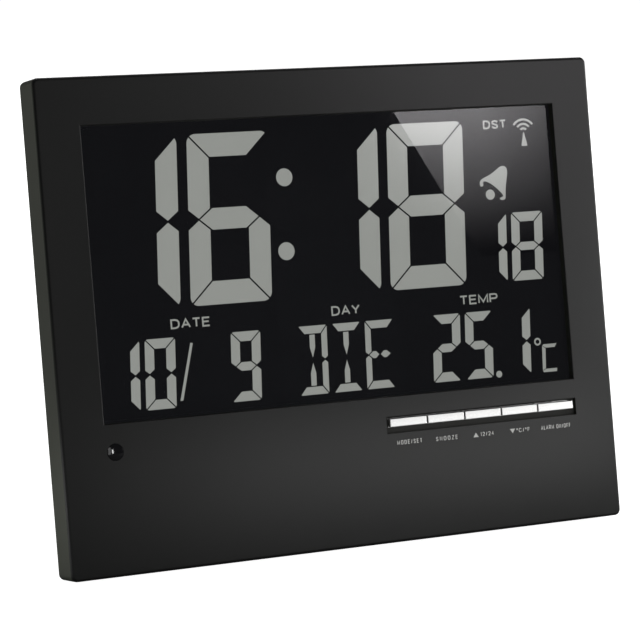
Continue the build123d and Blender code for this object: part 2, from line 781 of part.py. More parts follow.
with BuildPart() as clock_crystal:
    crystal_place = (board_back + crystal_radius, crystal_rise)
    rods(section(crystal_across - crystal_length / 2), crystal_place, crystal_radius, crystal_length)
    chamfer(clock_crystal.edges().filter_by(GeomType.CIRCLE), crystal_radius / 4)
write(clock_crystal, "clock_crystal")

with BuildPart() as capacitor:
    capacitor_back = board_back + capacitor_height
    rods(face(capacitor_back), capacitor_place, capacitor_radius, capacitor_height)
    fillet(capacitor.edges().filter_by(GeomType.CIRCLE).sort_by(back_axis)[-1], capacitor_edge)
write(capacitor, "capacitor")

# Radio receiver: a small board on two headers, and the ferrite rod with its coil in two saddles
with BuildPart() as receiver_board:
    receiver_back = board_back + receiver_lift + board_thickness
    block(face(receiver_back), receiver_place, (receiver_width, receiver_height), board_thickness)
    for side in (-1, 1):
        header_rise = receiver_place[1] + side * (receiver_height - header_width) / 2
        header_place = (receiver_place[0], header_rise)
        block(face(receiver_back), header_place, (receiver_width, header_width), receiver_back - board_back)
    chip_size = (receiver_chip_size, receiver_chip_size)
    block(face(receiver_back + receiver_chip_height), receiver_place, chip_size, receiver_chip_height)
write(receiver_board, "receiver_board")

rod_place = (rod_depth, rod_rise)
with BuildPart() as ferrite_rod:
    rods(section(rod_across - rod_length / 2), rod_place, rod_radius, rod_length)
write(ferrite_rod, "ferrite_rod")

with BuildPart() as antenna_coil:
    rods(section(rod_across - coil_length / 2), rod_place, coil_radius, coil_length)
    for start in (-coil_length / 2, coil_length / 2 - coil_flange):
        rods(section(rod_across + start), rod_place, coil_flange_radius, coil_flange)
    rods(section(rod_across - coil_length / 2), rod_place, rod_radius + rod_fit, coil_length, Mode.SUBTRACT)
write(antenna_coil, "antenna_coil")

with BuildPart() as antenna_saddles:
    saddle_back = rod_depth + saddle_reach
    for side in (-1, 1):
        saddle_place = (rod_across + side * saddle_offset, rod_rise)
        block(face(saddle_back), saddle_place, (saddle_width, saddle_height), saddle_back - board_back)
    rods(section(rod_across - rod_length / 2), rod_place, rod_radius + rod_fit, rod_length, Mode.SUBTRACT)
write(antenna_saddles, "antenna_saddles")

with BuildPart() as buzzer:
    rods(face(back_inside), buzzer_place, buzzer_radius, buzzer_height)
    rods(face(back_inside), buzzer_place, buzzer_hole, buzzer_height / 2, Mode.SUBTRACT)
write(buzzer, "buzzer")

# Buttons with the plungers of the switches they press
flange_back = pad_depth + button_play + button_flange
for button_name, place in zip(("mode", "snooze", "up", "down", "alarm"), button_places):
    with BuildPart() as button:
        cap_length = pad_depth + button_play + button_proud
        block(face(pad_depth + button_play), place, (button_width, button_height), cap_length)
        fillet(button.faces().sort_by(back_axis)[0].edges(), button_edge)
        block(face(flange_back), place, (button_width, button_flange_height), button_flange)
        rods(face(plunger_front), place, stem_radius, plunger_front - flange_back)
    write(button, f"{button_name}_button")
    with BuildPart() as plunger:
        rods(face(plunger_front + plunger_length), place, plunger_radius, plunger_length)
    write(plunger, f"{button_name}_plunger")

with BuildPart() as key_switches:
    for place in button_places:
        block(face(key_board_depth), place, (switch_size, switch_size), switch_height)
    bore_back = plunger_front + plunger_length + plunger_room
    rods(face(bore_back), button_places, plunger_radius + plunger_fit, bore_back, Mode.SUBTRACT)
write(key_switches, "key_switches")

with BuildPart() as key_board:
    key_board_back = key_board_depth + board_thickness
    key_board_size = (key_board_width, key_board_height)
    block(face(key_board_back), (key_board_across, key_board_rise), key_board_size, board_thickness)
    rods(face(key_board_back), key_screw_places, small_hole, board_thickness, Mode.SUBTRACT)
write(key_board, "key_board")

# Light sensor behind its dome, and the room thermometer, on one small board
sensor_place = (sensor_across, sensor_rise)
with BuildPart() as sensor_lens:
    lens_flange = sensor_hole_radius + sensor_flange_lip - sensor_gap
    dome_radius = sensor_hole_radius - sensor_gap
    dome_back = front_wall + sensor_flange
    dome_origin = point(sensor_across, 0, sensor_rise)
    with BuildSketch(Plane(origin=dome_origin, x_dir=back, z_dir=across)):
        with BuildLine():
            TangentArc((-sensor_proud, 0), (0, dome_radius), tangent=(0, 1))
            Polyline(
                (0, dome_radius),
                (front_wall, dome_radius),
                (front_wall, lens_flange),
                (dome_back, lens_flange),
                (dome_back, 0),
                (-sensor_proud, 0),
            )
        make_face()
    revolve(axis=Axis(dome_origin, back))
write(sensor_lens, "sensor_lens")

with BuildPart() as sensor_board:
    sensor_board_back = sensor_board_depth + board_thickness
    sensor_board_place = (sensor_across, sensor_board_top - sensor_board_height / 2)
    block(face(sensor_board_back), sensor_board_place, (sensor_board_width, sensor_board_height), board_thickness)
    rods(face(sensor_board_back), sensor_screw_place, small_hole, board_thickness, Mode.SUBTRACT)
write(sensor_board, "sensor_board")

with BuildPart() as photocell:
    rods(face(sensor_board_depth), sensor_place, photocell_radius, sensor_board_depth - photocell_front)
    fillet(photocell.edges().filter_by(GeomType.CIRCLE).sort_by(back_axis)[0], photocell_edge)
write(photocell, "photocell")

with BuildPart() as thermistor:
    thermistor_back = sensor_board_back + thermistor_length
    rods(face(thermistor_back), (sensor_across, thermistor_rise), thermistor_radius, thermistor_length)
    fillet(thermistor.edges().filter_by(GeomType.CIRCLE).sort_by(back_axis)[-1], thermistor_radius / 2)
write(thermistor, "thermistor")

# Four cells, their plus ends left and right in turn
plus_sides = (-1, 1, -1, 1)
nub_length = cell_length - cell_can
tip_across = tub_length / 2 - contact_plate - contact_dimple
for i, (side, rise) in enumerate(zip(plus_sides, cell_rises)):
    with BuildPart() as cell:
        can_end = side * (tip_across - nub_length)
        can_start = min(can_end, can_end - side * cell_can)
        rods(section(can_start), (cell_depth, rise), cell_radius, cell_can)
        chamfer(cell.edges().filter_by(GeomType.CIRCLE), cell_edge)
        rods(section(min(can_end, side * tip_across)), (cell_depth, rise), nub_radius, nub_length)
    write(cell, f"battery_{i + 1}")


def dimple(side, rise):
    """Raised button of a contact plate, against a cell's plus end."""
    start = min(side * (tub_length / 2 - contact_plate), side * tip_across)
    rods(section(start), (cell_depth, rise), dimple_radius, contact_dimple)


def spring(side, rise):
    """Coil of tilted half circles from a contact plate to a cell's minus end."""
    step = (spring_length - 2 * spring_wire) / spring_halves
    tilted_radius = hypot(spring_radius, step / 2)
    start = tub_length / 2 - contact_plate - spring_wire / 2
    with BuildLine() as coil:
        for i in range(spring_halves):
            turn = -1 if i % 2 else 1
            x = side * (start - i * step)
            ThreePointArc(
                point(x, cell_depth + turn * spring_radius, rise),
                point(x - side * step / 2, cell_depth, rise + turn * tilted_radius),
                point(x - side * step, cell_depth - turn * spring_radius, rise),
            )
    with BuildSketch(Plane(origin=coil.line @ 0, x_dir=across, z_dir=up)) as wire:
        RegularPolygon(spring_wire, spring_sides)
    sweep(wire.sketch, path=coil.line)


# Contact plates at the two ends of the tub: each has its side and the rows that it serves
for contact_name, plates in (
    ("positive_contact", ((-1, (0,)),)),
    ("negative_contact", ((-1, (3,)),)),
    ("bridge_contacts", ((1, (0, 1)), (-1, (1, 2)), (1, (2, 3)))),
):
    with BuildPart() as contact:
        for side, rows in plates:
            plate_mid = sum(cell_rises[row] for row in rows) / len(rows)
            plate_size = (contact_size, contact_size + (len(rows) - 1) * cell_pitch)
            plate_start = min(side * tub_length / 2, side * (tub_length / 2 - contact_plate))
            block(section(plate_start), (cell_depth, plate_mid), plate_size, contact_plate)
            for row in rows:
                (dimple if plus_sides[row] == side else spring)(side, cell_rises[row])
    write(contact, contact_name)
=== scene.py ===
"""Looks of the radio-controlled wall clock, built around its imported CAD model.

Lengths are in metres in Blender and in millimetres in this file's own tables. A place on the clock
is given as x (to the right), depth (from the front face into the case) and rise (up the leaning
case from the front face's lower edge).
"""

from math import cos, hypot, inf, pi, radians, sin

import bmesh
import bpy
from bpy.props import FloatProperty, FloatVectorProperty, PointerProperty
from mathutils import Matrix, Vector


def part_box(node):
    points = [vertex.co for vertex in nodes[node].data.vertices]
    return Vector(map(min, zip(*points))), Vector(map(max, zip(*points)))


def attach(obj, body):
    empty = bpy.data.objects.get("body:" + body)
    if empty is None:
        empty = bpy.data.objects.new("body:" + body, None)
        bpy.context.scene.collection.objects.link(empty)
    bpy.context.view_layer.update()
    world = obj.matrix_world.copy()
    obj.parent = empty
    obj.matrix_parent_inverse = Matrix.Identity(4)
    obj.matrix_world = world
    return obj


bl_info = {
    "name": "Radio-Controlled Wall Clock",
    "version": (1, 0, 0),
    "blender": (4, 5, 0),
    "location": "3D View > Sidebar > Clock",
    "description": "Dresses the CAD model of a leaning digital clock with finishes, digits and legends",
    "category": "Object",
}

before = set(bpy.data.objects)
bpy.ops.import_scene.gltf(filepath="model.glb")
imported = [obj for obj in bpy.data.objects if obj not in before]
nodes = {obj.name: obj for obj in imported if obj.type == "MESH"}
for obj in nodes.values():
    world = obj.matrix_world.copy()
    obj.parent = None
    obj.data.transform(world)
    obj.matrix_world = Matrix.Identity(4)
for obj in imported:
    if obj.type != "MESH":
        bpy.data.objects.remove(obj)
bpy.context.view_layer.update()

MM = 0.001
LEAN = radians(10.6)
UP = Vector((0, sin(LEAN), cos(LEAN)))
BACK = Vector((0, cos(LEAN), -sin(LEAN)))

# The lens is a plain slab, so its box gives the front face's lower edge
LENS_THICKNESS = 1.5
LENS_DEPTH = 2.7
LENS_RISE = 50.3
lens_low, lens_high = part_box("display_lens")
lens_edge = Vector((0, lens_low.y, lens_low.z + LENS_THICKNESS * MM * sin(LEAN)))
CORNER = lens_edge - BACK * (LENS_DEPTH * MM) - UP * (LENS_RISE * MM)


def place(x, depth, rise):
    """Point of the clock in metres."""
    return CORNER + Vector((x * MM, 0, 0)) + BACK * (depth * MM) + UP * (rise * MM)


def face_matrix(depth):
    """Drawing plane parallel to the front: x to the right, y up the case, z towards the viewer."""
    turned = Matrix((Vector((1, 0, 0)), UP, -BACK)).transposed().to_4x4()
    return Matrix.Translation(place(0, depth, 0)) @ turned


# Sizes and colours that a user would change


class CaseSettings(bpy.types.PropertyGroup):
    shell_colour: FloatVectorProperty(
        name="Shell colour", description="Colour of the moulded case", subtype="COLOR", size=3,
        min=0, max=1, default=(0.0105, 0.0108, 0.0102),
    )
    shell_roughness: FloatProperty(
        name="Shell roughness", description="How matt the moulded case is", subtype="FACTOR",
        min=0, max=1, default=0.33,
    )
    key_colour: FloatVectorProperty(
        name="Key colour", description="Colour of the silver keys", subtype="COLOR", size=3,
        min=0, max=1, default=(0.56, 0.56, 0.555),
    )
    legend_colour: FloatVectorProperty(
        name="Legend colour", description="Colour of the words below the keys", subtype="COLOR", size=3,
        min=0, max=1, default=(0.6, 0.6, 0.58),
    )


class DisplaySettings(bpy.types.PropertyGroup):
    digit_colour: FloatVectorProperty(
        name="Digit colour", description="Colour of the lit segments", subtype="COLOR", size=3,
        min=0, max=1, default=(0.27, 0.278, 0.26),
    )
    ground_colour: FloatVectorProperty(
        name="Ground colour", description="Colour of the display between the segments", subtype="COLOR",
        size=3, min=0, max=1, default=(0.005, 0.005, 0.0059),
    )
    slant: FloatProperty(
        name="Slant", description="How far the digits lean, as width over height", min=0, max=0.3,
        default=0.057,
    )
    letter_slant: FloatProperty(
        name="Letter slant", description="How far the day's letters lean, as width over height", min=0,
        max=0.3, default=0.039,
    )
    digit_depth: FloatProperty(
        name="Digit depth", description="Depth of the segments behind the front face", subtype="DISTANCE",
        unit="LENGTH", min=0.0035, max=0.0042, default=0.00418, precision=5,
    )


class StageSettings(bpy.types.PropertyGroup):
    focal_length: FloatProperty(
        name="Focal length", description="Focal length on a 36 mm sensor", min=20, max=300, default=148.96,
    )
    azimuth: FloatProperty(
        name="Azimuth", description="Camera's angle round the clock", subtype="ANGLE", unit="ROTATION",
        default=radians(-25.65),
    )
    elevation: FloatProperty(
        name="Elevation", description="Camera's angle above the floor", subtype="ANGLE", unit="ROTATION",
        default=radians(10.03),
    )
    floor_colour: FloatVectorProperty(
        name="Floor colour", description="Colour of the plain floor", subtype="COLOR", size=3,
        min=0, max=1, default=(0.4, 0.4, 0.4),
    )
    floor_glow: FloatProperty(
        name="Floor glow", description="How brightly the light table under the clock shines", min=0, max=2,
        default=1.02,
    )


# Finishes


COAT_ROUGHNESS = 0.08
BUMP_STRENGTH = 0.25
CLOUD_SIZE = 12  # of the clouds of colour and gloss, over the grain's own size
CLOUD_DETAIL = 3
GRAIN_FINENESS = 2
GRAIN_DETAIL = 4
# A face's turn to the front is 0 when it is square to it and 1 when it is parallel to it
# Turns at which the painted light on the sides gives way to the painted shade on the roundings, and that
# shade to the front's own colour
SIDE_TO_EDGE = (0.03, 0.12)
EDGE_TO_FRONT = (0.93, 0.985)


def feed(tree, socket, value):
    """Sets a socket to a number or a colour, or links another node's output to it."""
    if isinstance(value, bpy.types.NodeSocket):
        tree.links.new(value, socket)
    else:
        socket.default_value = value


def noise(tree, where, scale, detail):
    """Cloudy values in the piece's own coordinates."""
    node = tree.nodes.new("ShaderNodeTexNoise")
    node.inputs["Scale"].default_value = scale
    node.inputs["Detail"].default_value = detail
    tree.links.new(where.outputs["Object"], node.inputs["Vector"])
    return node.outputs["Fac"]


def mix(tree, kind, factor, first, second):
    """Blend of two numbers or colours."""
    node = tree.nodes.new("ShaderNodeMix")
    node.data_type = kind
    for name, value in (("Factor", factor), ("A", first), ("B", second)):
        feed(tree, node.inputs[name], value)
    return node.outputs["Result"]


def ramp(tree, source, start=0.0, end=1.0, first=0.0, last=1.0):
    """Value that goes from first to last as the source goes from start to end."""
    node = tree.nodes.new("ShaderNodeMapRange")
    tree.links.new(source, node.inputs["Value"])
    for name, value in (("From Min", start), ("From Max", end), ("To Min", first), ("To Max", last)):
        node.inputs[name].default_value = value
    return node.outputs["Result"]


def calculate(tree, operation, *values):
    """Result of one operation on numbers or on other nodes' outputs."""
    node = tree.nodes.new("ShaderNodeMath")
    node.operation = operation
    for socket, value in zip(node.inputs, values):
        feed(tree, socket, value)
    return node.outputs["Value"]


def wander(tree, cloud, colour, spread, most):
    """Colour that is darker or lighter by its spread from place to place, up to most."""
    darker = (*[c * (1 - spread) for c in colour], 1)
    lighter = (*[min(most, c * (1 + spread)) for c in colour], 1)
    return mix(tree, "RGBA", cloud, darker, lighter)


def finish(
    name, colour, roughness, metallic=0.0, grain=900.0, grain_height=0.02, spread=0.12,
    roughness_spread=0.06, specular=0.5, coat=0.0, transmission=0.0, ior=1.5, glow=None, glow_strength=0.0,
    side_roughness=None, painted_side_light=None, painted_edge_shade=None,
):
    """Material with fine colour variation, uneven gloss and a moulded or brushed grain.

    The side's roughness is for faces square to the front. The side colour is light painted on these faces,
    and the edge colour is shade painted on the roundings between.
    """
    material = bpy.data.materials.new(name)
    material.use_nodes = True
    tree = material.node_tree
    shader = tree.nodes["Principled BSDF"]
    shader.inputs["Metallic"].default_value = metallic
    shader.inputs["Specular IOR Level"].default_value = specular
    shader.inputs["Coat Weight"].default_value = coat
    shader.inputs["Coat Roughness"].default_value = COAT_ROUGHNESS
    shader.inputs["Transmission Weight"].default_value = transmission
    shader.inputs["IOR"].default_value = ior
    where = tree.nodes.new("ShaderNodeTexCoord")
    cloud = noise(tree, where, grain / CLOUD_SIZE, CLOUD_DETAIL)
    base = wander(tree, cloud, colour, spread, most=1)
    least, most = max(0, roughness - roughness_spread), min(1, roughness + roughness_spread)
    gloss = ramp(tree, cloud, first=least, last=most)
    # Painted light and shade: faces square to the front get the lighter side colour, the roundings the dark
    # edge colour
    if painted_side_light:
        facing = tree.nodes.new("ShaderNodeVectorMath")
        facing.operation = "DOT_PRODUCT"
        facing.inputs[1].default_value = -BACK
        tree.links.new(where.outputs["Normal"], facing.inputs[0])
        turn = calculate(tree, "ABSOLUTE", facing.outputs["Value"])
        edge = mix(tree, "RGBA", ramp(tree, turn, *SIDE_TO_EDGE), (*painted_side_light, 1), (*painted_edge_shade, 1))
        base = mix(tree, "RGBA", ramp(tree, turn, *EDGE_TO_FRONT), edge, base)
        gloss = mix(tree, "FLOAT", ramp(tree, turn, *EDGE_TO_FRONT), side_roughness, gloss)
    tree.links.new(base, shader.inputs["Base Color"])
    tree.links.new(gloss, shader.inputs["Roughness"])
    if grain_height:
        bump = tree.nodes.new("ShaderNodeBump")
        bump.inputs["Strength"].default_value = BUMP_STRENGTH
        bump.inputs["Distance"].default_value = grain_height * MM
        texture = noise(tree, where, grain * GRAIN_FINENESS, GRAIN_DETAIL)
        tree.links.new(texture, bump.inputs["Height"])
        tree.links.new(bump.outputs["Normal"], shader.inputs["Normal"])
    if glow:
        tree.links.new(wander(tree, cloud, glow, spread, most=inf), shader.inputs["Emission Color"])
        shader.inputs["Emission Strength"].default_value = glow_strength
    return material


def dress(material, *names):
    """Gives CAD nodes their material."""
    for name in names:
        mesh = nodes[name].data
        mesh.materials.clear()
        mesh.materials.append(material)


# Flat shapes drawn on the leaning planes


def cut(outline, across, along, limit):
    """Part of a convex outline where across * x + along * y is at most limit."""
    kept = []
    for i, point in enumerate(outline):
        before = outline[i - 1]
        here = across * point[0] + along * point[1] - limit
        there = across * before[0] + along * before[1] - limit
        if (here <= 0) != (there <= 0):
            share = there / (there - here)
            kept.append(tuple(b + share * (p - b) for b, p in zip(before, point)))
        if here <= 0:
            kept.append(point)
    return kept


ROUNDING_STEPS = 9  # of a quarter turn at a digit's corner
TIP_PLACE = 0.48  # of an upright's tip, over the upright's width
TIP_SLOPE = 0.8  # of the uprights' and the middle bar's tips
AXIS_SLOPE = 3.5  # of the middle uprights' tips
AXIS_TIP = 0.95  # from the tip of a middle upright to half height, in mm
AXIS_SHIFT = 0.22  # of the middle uprights to the left, in mm
AXIS_WIDTH = 0.46  # half of a middle upright's width, over a side upright's width
LEAF_GAP = 0.35  # from the tip of a half bar to half width, in mm


class Cell:
    """Place, sizes and slant of one digit; its segments are cut from the digit's own rectangle."""

    def __init__(self, left, base, width, height, upright, bar, middle, gap, radius, slant):
        self.left, self.base, self.width, self.height = left, base, width, height
        self.upright, self.bar, self.middle = upright, bar, middle
        self.gap, self.radius, self.slant = gap, radius, slant

    def outline(self, cuts):
        """A segment as points on the face, with its digit's rounded corners and slant."""
        shape = [(0, 0), (self.width, 0), (self.width, self.height), (0, self.height)]
        for side in (-1, 1):
            for end in (-1, 1):
                cx = self.width / 2 + side * (self.width / 2 - self.radius)
                cy = self.height / 2 + end * (self.height / 2 - self.radius)
                for step in range(1, ROUNDING_STEPS):
                    turn = step * pi / (2 * ROUNDING_STEPS)
                    nx, ny = side * cos(turn), end * sin(turn)
                    cuts = [*cuts, (nx, ny, nx * cx + ny * cy + self.radius)]
        for across, along, limit in cuts:
            shape = cut(shape, across, along, limit)
        half = self.height / 2
        return [(self.left + x + self.slant * (y - half), self.base + y) for x, y in shape]

    def mirrored(self, cuts, flip_x, flip_y):
        """The same cuts seen in the digit's vertical or horizontal middle line."""
        turned = []
        for across, along, limit in cuts:
            if flip_x:
                across, limit = -across, limit - across * self.width
            if flip_y:
                along, limit = -along, limit - along * self.height
            turned.append((across, along, limit))
        return turned

    def segment(self, letter):
        """Seven segments a to g as usual; i and l are the middle uprights, h and k the half bars."""
        w, h, s, t, m, g = self.width, self.height, self.upright, self.bar, self.middle, self.gap
        mitre = g / 2 * hypot(s, t)
        joint = TIP_SLOPE * TIP_PLACE * s
        tip = g / 2 * hypot(1, TIP_SLOPE)
        half = h / 2
        if letter in "ad":
            slant_end = (-t, -s, -s * h - mitre)
            cuts = [slant_end, (0, -1, t - h), *self.mirrored([slant_end], True, False)]
            return self.outline(self.mirrored(cuts, False, letter == "d"))
        if letter in "bcef":
            cuts = [(1, 0, s), (t, s, s * h - mitre)]
            cuts += [(TIP_SLOPE, -1, joint - half - tip), (-TIP_SLOPE, -1, -joint - half - tip)]
            return self.outline(self.mirrored(cuts, letter in "bc", letter in "ce"))
        if letter in "il":
            top = half + AXIS_TIP
            axis = w / 2 - AXIS_SHIFT
            cuts = [(1, 0, axis + AXIS_WIDTH * s), (-1, 0, AXIS_WIDTH * s - axis), (0, 1, h - t - g)]
            cuts += [(AXIS_SLOPE, -1, AXIS_SLOPE * axis - top), (-AXIS_SLOPE, -1, -AXIS_SLOPE * axis - top)]
            return self.outline(self.mirrored(cuts, False, letter == "l"))
        bar = [(0, 1, half + m), (0, -1, m - half)]
        end = [(-TIP_SLOPE, 1, half - joint - tip), (-TIP_SLOPE, -1, -half - joint - tip)]
        if letter == "g":
            return self.outline([*bar, *end, *self.mirrored(end, True, False)])
        leaf = w / 2 - LEAF_GAP
        cuts = [*bar, *end, (1, 1, leaf + half), (1, -1, leaf - half)]
        return self.outline(self.mirrored(cuts, letter == "k", False))


# Segments that make up each figure and letter
LIT = {
    "0": "abcdef", "1": "bc", "2": "abdeg", "5": "acdfg", "6": "acdefg", "8": "abcdefg", "9": "abcdfg",
    "D": "abcdil", "I": "adil", "E": "adefhk",
}


def circle(x, y, radius, steps=48):
    turns = [2 * pi * i / steps for i in range(steps)]
    return [(x + radius * cos(a), y + radius * sin(a)) for a in turns]


def band(x, y, inner, outer, start, end, steps=24):
    """Part of a ring between two angles, in degrees."""
    turns = [radians(start + (end - start) * i / steps) for i in range(steps + 1)]
    rim = [(x + outer * cos(a), y + outer * sin(a)) for a in turns]
    return rim + [(x + inner * cos(a), y + inner * sin(a)) for a in reversed(turns)]


def smooth_outline(points, steps=6):
    """Closed Catmull-Rom curve through the points."""
    count = len(points)
    made = []
    for i in range(count):
        p0, p1, p2, p3 = (Vector(points[(i + k) % count]) for k in (-1, 0, 1, 2))
        for j in range(steps):
            t = j / steps
            made.append(tuple(0.5 * (
                2 * p1 + (p2 - p0) * t + (2 * p0 - 5 * p1 + 4 * p2 - p3) * t * t
                + (3 * p1 - p0 - 3 * p2 + p3) * t ** 3
            )))
    return made


def flat_piece(name, outlines, depth, material):
    """Makes one flat object on the case from closed outlines in mm on the plane at that depth."""
    mesh = bpy.data.meshes.new(name)
    sheet = bmesh.new()
    for outline in outlines:
        face = sheet.faces.new([sheet.verts.new((x * MM, y * MM, 0)) for x, y in outline])
        face.normal_update()
        if face.normal.z < 0:
            face.normal_flip()
    bmesh.ops.triangulate(sheet, faces=sheet.faces[:])
    sheet.to_mesh(mesh)
    sheet.free()
    piece = bpy.data.objects.new(name, mesh)
    bpy.context.scene.collection.objects.link(piece)
    piece.matrix_world = face_matrix(depth)
    mesh.materials.append(material)
    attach(piece, "case")


# Each letter's width and its strokes in a unit square; a stroke that ends where it starts is closed
ROUND = (
    (0.3, 0), (0.08, 0.1), (0, 0.3), (0, 0.7), (0.08, 0.9), (0.3, 1), (0.7, 1), (0.92, 0.9), (1, 0.7),
    (1, 0.3), (0.92, 0.1), (0.7, 0), (0.3, 0),
)
BOW = (
    (0, 0), (0, 1), (0.7, 1), (0.93, 0.93), (1, 0.78), (1, 0.68), (0.93, 0.53), (0.7, 0.46), (0, 0.46),
)
LETTERS = {
    "A": (1.05, ((0, 0), (0.5, 1), (1, 0)), ((0.2, 0.33), (0.8, 0.33))),
    "C": (1.0, ((1, 0.74), (0.9, 0.92), (0.7, 1), (0.3, 1), (0.08, 0.9), (0, 0.7), (0, 0.3), (0.08, 0.1),
                (0.3, 0), (0.7, 0), (0.9, 0.08), (1, 0.26))),
    "D": (1.0, ((0, 0), (0, 1), (0.5, 1), (0.8, 0.92), (0.96, 0.74), (1, 0.5), (0.96, 0.26), (0.8, 0.08),
                (0.5, 0), (0, 0))),
    "E": (0.9, ((1, 1), (0, 1), (0, 0), (1, 0)), ((0, 0.52), (0.9, 0.52))),
    "F": (0.85, ((1, 1), (0, 1), (0, 0)), ((0, 0.52), (0.9, 0.52))),
    "L": (0.8, ((0, 1), (0, 0), (1, 0))),
    "M": (1.15, ((0, 0), (0, 1), (0.5, 0.12), (1, 1), (1, 0))),
    "N": (1.0, ((0, 0), (0, 1), (1, 0), (1, 1))),
    "O": (1.05, ROUND),
    "P": (0.95, BOW),
    "R": (1.0, BOW, ((0.5, 0.46), (1, 0))),
    "S": (0.95, ((0.97, 0.77), (0.84, 0.94), (0.5, 1), (0.16, 0.94), (0.02, 0.76), (0.18, 0.58), (0.82, 0.43),
                 (0.98, 0.25), (0.84, 0.06), (0.5, 0), (0.16, 0.06), (0.02, 0.24))),
    "T": (0.95, ((0, 1), (1, 1)), ((0.5, 1), (0.5, 0))),
    "Y": (1.0, ((0, 1), (0.5, 0.45), (1, 1)), ((0.5, 0.45), (0.5, 0))),
    "Z": (0.95, ((0, 1), (1, 1), (0, 0), (1, 0))),
    "1": (0.5, ((0, 0.76), (1, 1), (1, 0))),
    "2": (0.95, ((0, 0.75), (0.08, 0.93), (0.3, 1), (0.7, 1), (0.93, 0.9), (1, 0.72), (0.9, 0.52), (0, 0),
                 (1, 0))),
    "4": (0.95, ((0.72, 0), (0.72, 1), (0, 0.3), (1, 0.3))),
    "/": (0.6, ((0, 0), (1, 1))),
    "°": (0.45, ((0.5, 0.62), (0, 0.7), (0, 0.94), (0.5, 1), (1, 0.94), (1, 0.7), (0.5, 0.62))),
    " ": (0.55,),
}


MITRE_LIMIT = 0.55  # least share of a corner's mitre that is drawn, so that sharp corners stay short


def ribbon(line, width):
    """Quads of a flat stroke with mitred corners along a line of points; it may be closed."""
    closed = line[0] == line[-1]
    points = [Vector(p) for p in (line[:-1] if closed else line)]
    count = len(points)
    rims = []
    for i, point in enumerate(points):
        before = points[i - 1] if closed or i else None
        after = points[(i + 1) % count] if closed or i < count - 1 else None
        way_in = (point - before).normalized() if before else (after - point).normalized()
        way_out = (after - point).normalized() if after else way_in
        side = Vector((-way_in.y - way_out.y, way_in.x + way_out.x)).normalized()
        reach = width / 2 / max(MITRE_LIMIT, side.dot(Vector((-way_in.y, way_in.x))))
        rims.append((point + side * reach, point - side * reach))
    ends = range(count if closed else count - 1)
    return [[*rims[i], *reversed(rims[(i + 1) % count])] for i in ends]


def word(name, text, box, stroke, gap, depth, material):
    """Makes a flat word that fills box = (left, low, right, high) in mm, with that gap between letters."""
    left, low, right, high = box
    unit = (right - left - gap * (len(text) - 1)) / sum(LETTERS[letter][0] for letter in text)
    tall = high - low - stroke
    outlines = []
    for letter in text:
        wide, *lines = LETTERS[letter]
        for line in lines:
            centres = [
                (left + stroke / 2 + u * (wide * unit - stroke), low + stroke / 2 + v * tall) for u, v in line
            ]
            outlines += ribbon(centres, stroke)
        left += wide * unit + gap
    flat_piece(name, outlines, depth, material)


# Tables of the display and the legends, in mm; each place is (x, rise)

# Sizes of a digit: base, width, height, upright, bar, half of the middle bar, gap and corner radius
BIG = (95.2, 32.83, 63.22, 8.65, 8.7, 4.0, 0.58, 3.4)
SECONDS = (95.2, 13.92, 26.6, 3.68, 3.7, 1.6, 0.45, 1.4)
SMALL = (58.69, 12.0, 25.8, 3.62, 3.6, 1.6, 0.42, 1.3)
LETTER = (58.62, 11.98, 25.85, 2.4, 2.95, 1.3, 0.42, 0.9)
# Rows of digits: their sizes, then each figure and its left edge at half height
ROWS = {
    "time_digits": (BIG, (("1", -94.35), ("6", -57.5), ("1", -11.85), ("8", 25.0))),
    "seconds_digits": (SECONDS, (("1", 61.15), ("8", 77.25))),
    "date_digits": (SMALL, (("1", -93.4), ("0", -79.3), ("9", -45.07))),
    "day_letters": (LETTER, (("D", -17.45), ("I", -3.35), ("E", 10.5))),
    "temperature_digits": (SMALL, (("2", 39.3), ("5", 53.43), ("1", 70.25))),
}
# Dots: x, rise and radius
COLON_DOTS = ((-17.53, 140.61, 3.35), (-19.03, 113.01, 3.35))
DECIMAL_POINT = (67.2, 59.62, 1.32)
# Outlines of the date's slash and of the C; the degree's ring: x, rise, inner and outer radius
DATE_SLASH = ((-66.4, 61.05), (-65.25, 61.05), (-59.7, 81.8), (-60.7, 82.0))
DEGREE_RING = (85.34, 70.8, 0.82, 1.52)
DEGREE_LETTER = (
    ((87.31, 69.05), (87.81, 69.6), (93.80, 69.6), (92.80, 68.2), (88.86, 68.2)),
    ((87.21, 68.9), (88.71, 68.0), (88.21, 60.22), (86.76, 59.37)),
    ((86.81, 59.17), (87.31, 58.67), (93.10, 58.67), (93.25, 59.97), (88.26, 59.97)),
)
# Words: text, box and stroke
WORD_GAP = 0.55
WORDS = (
    ("date_word", "DATE", (-67.9, 87.45, -52.1, 91.1), 0.64),
    ("day_word", "DAY", (-2.5, 87.45, 9.5, 91.1), 0.64),
    ("temperature_word", "TEMP", (52.4, 87.45, 69.15, 91.1), 0.64),
    ("summer_time_word", "DST", (68.75, 154.7, 79.0, 158.1), 0.62),
)
# Legends: text, box and gap; they lie just in front of the face
LEGEND_STROKE = 0.27
LEGEND_DEPTH = -0.012
LEGENDS = (
    ("mode_legend", "MODE/SET", (18.9, 36.75, 29.6, 38.4), 0.45),
    ("snooze_legend", "SNOOZE", (35.55, 36.6, 45.0, 38.25), 0.6),
    ("hour_legend", "12/24", (54.9, 36.65, 60.8, 38.25), 0.45),
    ("unit_legend", "°C/°F", (70.85, 36.65, 76.8, 38.25), 0.45),
    ("alarm_legend", "ALARM ON/OFF", (81.8, 36.55, 95.1, 38.2), 0.3),
)
ARROWS = (
    ((51.8, 36.5), (54.1, 36.5), (52.95, 38.25)),
    ((67.95, 38.25), (69.1, 36.5), (70.25, 38.25)),
)
# Dark sheet of painted shade on the key trough's floor, and the keys' slot left open in it: left, low, right,
# high
TROUGH_SHADE_DEPTH = 1.58
TROUGH_SHADE = (15.15, 41.25, 98.15, 47.75)
KEY_SLOT = (16.3, 43.45, 97.0, 47.15)
